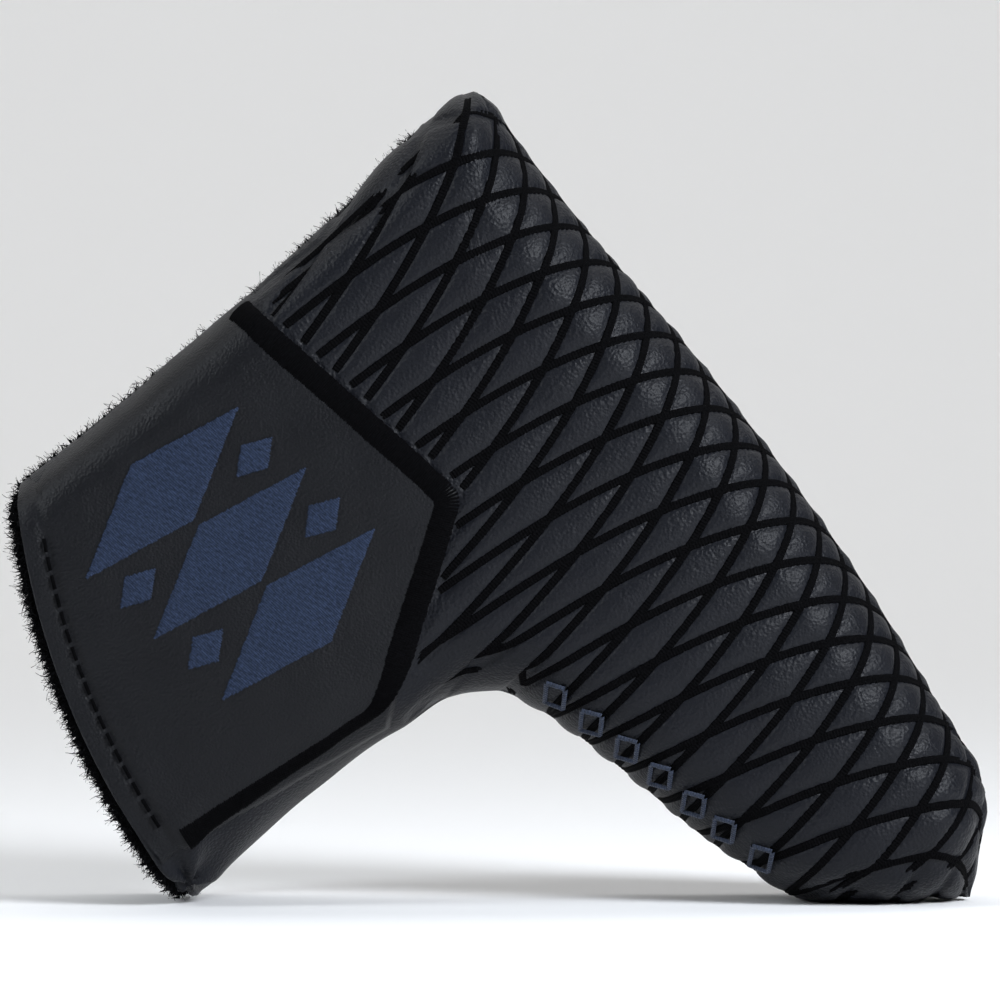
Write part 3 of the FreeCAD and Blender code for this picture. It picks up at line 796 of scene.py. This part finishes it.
def emblem():
    """Filled embroidery: rows of thread, each pulled down where a stitch ends."""
    bag = Bag()
    for x, y, half in EMBLEM_DIAMONDS:
        shape = [(x - half[0], y), (x, y - half[1]), (x + half[0], y), (x, y + half[1])]
        low, high = y - half[1], y + half[1]
        for row, b in enumerate(np.arange(low + 0.5 * ROW_PITCH, high, ROW_PITCH)):
            hits = crossings(shape, b)
            for a0, a1 in zip(hits[::2], hits[1::2]):
                a0, a1 = a0 - rng.uniform(0.0, 0.25), a1 + rng.uniform(0.0, 0.25)
                steps = np.linspace(a0, a1, max(3, int((a1 - a0) / 0.55)))
                phase = (steps / STITCH_RUN + (row % 3) / 3.0) % 1.0
                dip = np.minimum(1.0, 4.0 * np.minimum(phase, 1.0 - phase)) ** 0.6
                ends = np.minimum(1.0, np.minimum(steps - a0, a1 - steps) / 0.5)
                lift = EMBLEM_BASE + EMBLEM_LIFT + (0.34 * dip + 0.08) * (0.25 + 0.75 * ends)
                offsets = (-ROW_HALF, 0.0, ROW_HALF)
                flat = np.array([[emblem_point(a, b + off) for off in offsets] for a in steps])
                height = lift[:, None] + ROW_ROUND[None, :]
                bag.grid(lay(skin_points(flat, FRONT), FRONT, height)[0])
    piece = bag.piece("emblem_threads", BLUE_THREAD)
    return piece


MARKS = 7
MARK_FIRST, MARK_STEP, MARK_INSET = 152.0, 7.6, 4.6
MARK_LONG, MARK_WIDE = 3.0, 2.5           # half a mark's length and width
MARK_THREAD = 0.5
MARK_PROFILE = [(-1.0, 0.5), (-0.5, 1.0), (0.5, 1.0), (1.0, 0.5)]


def edge_marks():
    """A row of small outlined diamonds along the inner edge of the head."""
    bag = Bag()
    outline = ((-MARK_LONG, 0.0), (0.0, -MARK_WIDE), (MARK_LONG, 0.0), (0.0, MARK_WIDE))
    for k in range(MARKS):
        u = MARK_FIRST - MARK_STEP * k
        s = float(np.interp(-u, -INNER[:6, 0], np.arange(6.0)))
        _, q, _, along = section(s)
        centre = q - along * MARK_INSET
        corners = [centre + np.array(c) for c in outline]
        for a, b in zip(corners, corners[1:] + corners[:1]):
            path = resample([a, b], 0.35)
            drop = edge_height(path[:, 0]) - path[:, 1]
            inset = np.clip(drop / INNER_ROUND, 0, 1)
            w = HALF_DEPTH * np.sqrt(np.clip(1.0 - (1.0 - inset) ** 2, 0, 1))
            points = np.stack([path[:, 0], path[:, 1], -w], -1)
            ribbon(bag, points, FRONT, MARK_THREAD, MARK_PROFILE)
    # The marks take the darker copy of the blue thread, which is painted shade
    piece = bag.piece("edge_marks", SHADED_BLUE_THREAD)
    return piece


TOPSTITCH_INSET = 4.2
TOPSTITCH_FROM, TOPSTITCH_TO = 13.0, 74.0
TOPSTITCH_STEP = 0.3
STITCH_STEPS, STITCH_EVERY = 9, 12        # a stitch's length and the row's repeat, in path steps
TOPSTITCH_HALF = 0.36


def topstitch(side, name, base):
    """A row of single stitches beside the mouth."""
    bag = Bag()
    path = resample(mouth_line(TOPSTITCH_INSET, TOPSTITCH_FROM, TOPSTITCH_TO, 90), TOPSTITCH_STEP)
    for k in range(0, len(path) - STITCH_STEPS, STITCH_EVERY):
        run = path[k:k + STITCH_STEPS + 1]
        arch = np.sin(np.linspace(0.0, math.pi, len(run)))
        along = np.gradient(run, axis=0)
        along /= np.linalg.norm(along, axis=-1, keepdims=True)
        square = np.stack([-along[:, 1], along[:, 0]], -1)
        offsets, heights = (-TOPSTITCH_HALF, 0.0, TOPSTITCH_HALF), (-0.15, 0.3, -0.15)
        flat = np.stack([run + square * o for o in offsets], 1)
        height = base + np.stack([0.25 * arch + h for h in heights], 1)
        bag.grid(lay(skin_points(flat, side), side, height)[0])
    piece = bag.piece(name, BLACK_THREAD)
    return piece


def patch():
    """The smooth leather patch: the skin raised by its thickness, under the stitched border."""
    grid = half_grid(FRONT, 0.0, 300, 30, 120)
    points, n = padded_shape(grid, FRONT)
    u, v = grid[..., 0], grid[..., 1]
    over = np.minimum(side_of(u, v, PATCH_TOP_LEFT, PATCH_TOP), side_of(u, v, PATCH_TOP, PATCH_RIGHT))
    over = np.minimum(over, side_of(u, v, PATCH_RIGHT, PATCH_LOW))
    rise = PATCH_RISE * ease(over, 0.4, 2.6) * tucked(grid)
    stitched = np.exp(-((mouth_distance(u, v) - TOPSTITCH_INSET) / 0.9) ** 2)
    points = points + n * ((rise - 0.45 * stitched) * 0.001)[..., None]
    inside = (over > PATCH_CUT).reshape(-1)
    faces = [f for f in outward_faces(points, FRONT) if all(inside[k] for k in f)]
    used = sorted({k for f in faces for k in f})
    back = {k: i for i, k in enumerate(used)}
    flat = points.reshape(-1, 3)[used]
    piece = mesh_object("patch", flat, [tuple(back[k] for k in f) for f in faces], SMOOTH)
    return piece


MOUTH_EDGE = mouth_line(0.0, 0.0, 89.0, 80)


def mouth_distance(u, v):
    """How far pattern points lie inside the mouth edge."""
    edge = np.interp(u, MOUTH_EDGE[:, 0], MOUTH_EDGE[:, 1])
    slope = (MOUTH_EDGE[-1, 1] - MOUTH_EDGE[0, 1]) / (MOUTH_EDGE[-1, 0] - MOUTH_EDGE[0, 0])
    return (edge - v) / math.hypot(1.0, slope)


# ---------------------------------------------------------------- pile
PILE_DEPTHS = (1.9, 3.6, 5.4, 7.2)        # mm under the leather's outside
MOUTH_STRANDS, HEEL_STRANDS = 3000, 2700  # on each side, at each depth
SHORTEST, LONGEST_MOUTH, LONGEST_HEEL = 0.0014, 0.0036, 0.0034
STRAND_HALF = 0.00030
SCATTER = 0.0004
TANGLE = 0.6             # how far strands lean away from straight out
CURL = 2.2
GROUND_GAP = 0.0003
HEEL_PILE_START = 9.4


def strand(bag, root, direction, length):
    """One curled lock of pile, as a narrow tapering strip; none reaches the ground."""
    steps = 5
    side = np.cross(direction, rng.normal(size=3))
    side /= np.linalg.norm(side)
    bend = np.cross(direction, side) * rng.uniform(-1.0, 1.0)
    rows = []
    for k in range(steps):
        t = k / (steps - 1.0)
        centre = root + direction * (length * (t - 0.25 * t * t)) + bend * (0.85 * length * t * t)
        twist = side * math.cos(CURL * t) + bend * math.sin(CURL * t)
        half = twist * (STRAND_HALF * (1.0 - 0.7 * t))
        rows.append((centre - half, centre + half))
    rows = np.array(rows)
    if rows[..., 2].min() > GROUND_GAP:
        bag.grid(rows)


def pile_edge(side, name):
    """The curly pile that stands out past the leather at the mouth and along the open heel edge."""
    bag = Bag()
    for depth in PILE_DEPTHS:
        rows = half_section(MOUTH - 0.05, depth, 1.0, side, 40, 160)
        inner = half_section(MOUTH - 1.0, depth, 1.0, side, 40, 160)
        roots, out = row_frame(rows), row_frame(rows) - row_frame(inner)
        out /= np.linalg.norm(out, axis=-1, keepdims=True)
        for _ in range(MOUTH_STRANDS):
            j = rng.integers(0, len(roots) - 1)
            root = roots[j] + (roots[j + 1] - roots[j]) * rng.uniform() + rng.normal(0.0, SCATTER, 3)
            root = root + out[j] * rng.uniform(-SCATTER, 0.0018)
            direction = out[j] + rng.normal(0.0, TANGLE, 3)
            strand(bag, root, direction / np.linalg.norm(direction), rng.uniform(SHORTEST, LONGEST_MOUTH))
    for depth in PILE_DEPTHS:
        for _ in range(HEEL_STRANDS):
            s = rng.uniform(HEEL_PILE_START, MOUTH)
            row = half_section(s, depth, 1.0, side, 24, 4)
            along = (INNER[int(s)] - OUTER[int(s)]) / np.hypot(*(INNER[int(s)] - OUTER[int(s)]))
            root = row_frame(row[rng.integers(0, 4)]) + rng.normal(0.0, SCATTER, 3)
            heel = row_frame([-along[0], -along[1], 0.0]) - row_frame([0.0, 0.0, 0.0])
            heel /= np.linalg.norm(heel)
            direction = heel + rng.normal(0.0, TANGLE, 3)
            root = root + heel * rng.uniform(0.0, 0.0008)
            strand(bag, root, direction / np.linalg.norm(direction), rng.uniform(SHORTEST, LONGEST_HEEL))
    piece = bag.piece(name, PILE)
    return piece


LIP_RADIUS, LIP_LEAST = 1.5, 0.25
LIP_REACH = 1.9          # half the roll's width along the section


def lip_roll(side, name):
    """The rolled leather lip along the open heel edge."""
    rows = []
    for s in np.linspace(SLIT_START, MOUTH - 0.05, 140):
        grow = LIP_RADIUS * float(ease(s, SLIT_START, SLIT_START + 0.8)) + LIP_LEAST
        lip = mix(s, SLIT_START, SLIT_FULL, SEAM_GAP, SLIT_HALF)
        ring = []
        for a in np.linspace(0.0, 2.0 * math.pi, 15)[:-1]:
            x = LIP_REACH + LIP_REACH * math.cos(a)
            w = lip + grow * 0.75 + grow * math.sin(a)
            u, v = in_plane(s, x)
            ring.append((u, v, side * w))
        rows.append(ring + ring[:1])
    bag = Bag()
    grid = row_frame(np.array(rows))
    bag.grid(grid if side == FRONT else grid[:, ::-1])
    piece = bag.piece(name, LIP)
    return piece


OVER_PATCH, OVER_SHELL = 1.35, 0.1        # what the topstitch lies on


def folding(piece, side, *nodes):
    """The piece stands for CAD nodes on both sides of a fold line: hides those nodes and bakes the piece's
    transform.
    """
    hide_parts(*nodes)
    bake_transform(piece)


def dress_half(side, name):
    """Every piece that the front and the back both have."""
    folding(leather_panel(side, name + "_leather"), side, name + "_shell_leather", name + "_flap_leather")
    foam = ply(side, FOAM_TOP, FOAM_TOP + FOAM, name + "_foam", FOAM_MATERIAL, MOUTH - 0.2)
    folding(foam, side, name + "_shell_foam", name + "_flap_foam")
    lining = ply(side, LINING_TOP, LINING_TOP + PILE_BACKING, name + "_lining", PILE, MOUTH + 0.2, 0.25)
    folding(lining, side, name + "_shell_lining", name + "_flap_lining")
    folding(quilting(side, name + "_quilting"), side,
            name + "_quilting_threads", name + "_flap_quilting_threads")
    folding(pile_edge(side, name + "_pile"), side)
    folding(lip_roll(side, name + "_lip"), side, name + "_lip_binding")
    base = OVER_PATCH if side == FRONT else OVER_SHELL
    folding(topstitch(side, name + "_topstitch", base), side, name + "_mouth_topstitch")


dress_half(FRONT, "front")
dress_half(BACK, "back")
folding(patch(), FRONT, "patch_leather", "patch_flap_leather")
folding(border(), FRONT, "patch_border_stitching", "patch_flap_border_stitching")
folding(emblem(), FRONT, "emblem_embroidery", "emblem_flap_embroidery")
marks = edge_marks()
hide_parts("edge_mark_embroidery")
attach(marks, "cover")

for node_name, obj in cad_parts.items():
    if "magnet_pocket" in node_name:
        obj.data.materials.clear()
        obj.data.materials.append(CLOTH)
    elif "magnet" in node_name:
        obj.data.materials.clear()
        obj.data.materials.append(NICKEL)


# ---------------------------------------------------------------- studio
FLOOR_WIDE, FLOOR_NEAR, WALL_TOP = 6.0, -3.0, 4.5     # metres
COVE = 1.2               # radius of the curve between floor and wall, and where it starts
FILL = 0.985             # the share of the picture's width that the cover takes
AIM_HEIGHT = 0.0790
CAMERA_TILT = math.radians(1.0)


def studio_floor(ground):
    """A white floor that curves up into a wall behind the cover."""
    points, faces = [], []
    profile = [(FLOOR_NEAR, 0.0), (COVE, 0.0)]
    for a in np.linspace(0.1, 0.5 * math.pi, 14):
        profile.append((COVE + COVE * math.sin(a), COVE - COVE * math.cos(a)))
    profile.append((2.0 * COVE, WALL_TOP))
    for y, z in profile:
        points += [(-FLOOR_WIDE, y, ground + z), (FLOOR_WIDE, y, ground + z)]
    for k in range(len(profile) - 1):
        faces.append((2 * k, 2 * k + 1, 2 * k + 3, 2 * k + 2))
    finish = material("floor", (0.92, 0.92, 0.92), 0.9)[0]
    mesh_object("studio_floor", points, faces, finish)


def studio():
    """Floor, lights, world and camera."""
    low, high = (Vector(c) for c in cad_box)
    centre = 0.5 * (low + high)
    studio_floor(low.z)

    def softbox(name, place, size, power, colour=(1.0, 1.0, 1.0)):
        light = bpy.data.lights.new(name, "AREA")
        light.shape = "RECTANGLE"
        light.size, light.size_y = size
        light.energy = power
        light.color = colour
        obj = bpy.data.objects.new(name, light)
        bpy.context.scene.collection.objects.link(obj)
        obj.location = place
        aim = (Vector((0.0, 2.0, 0.3)) if name == "backdrop" else centre) - Vector(place)
        obj.rotation_euler = aim.to_track_quat("-Z", "Y").to_euler()

    softbox("key", (0.44, -0.44, 0.44), (0.30, 0.30), 6.8, (0.90, 0.94, 1.0))
    softbox("left", (-0.60, -0.22, 0.45), (0.2, 0.4), 2.4, (0.9, 0.95, 1.0))
    softbox("front", (0.1, -1.6, 0.9), (0.7, 0.4), 0.3)
    softbox("backdrop", (0.0, 0.9, 2.4), (4.0, 1.5), 45.0)

    world = bpy.data.worlds.new("studio")
    world.use_nodes = True
    world.node_tree.nodes["Background"].inputs["Color"].default_value = (1.0, 1.0, 1.0, 1.0)
    world.node_tree.nodes["Background"].inputs["Strength"].default_value = 0.06
    bpy.context.scene.world = world
    bpy.context.scene.view_settings.view_transform = "Standard"

    camera = bpy.data.cameras.new("camera")
    camera.lens = 240.0
    camera.sensor_width = 36.0
    camera.clip_end = 30.0
    obj = bpy.data.objects.new("camera", camera)
    bpy.context.scene.collection.objects.link(obj)
    span = (high.x - low.x) / FILL
    distance = span * camera.lens / camera.sensor_width
    aim = Vector((centre.x, low.y, low.z + AIM_HEIGHT))
    away = Vector((0.0, -distance * math.cos(CAMERA_TILT), distance * math.sin(CAMERA_TILT)))
    obj.location = aim + away
    obj.rotation_euler = (aim - obj.location).to_track_quat("-Z", "Y").to_euler()
    bpy.context.scene.camera = obj


studio()
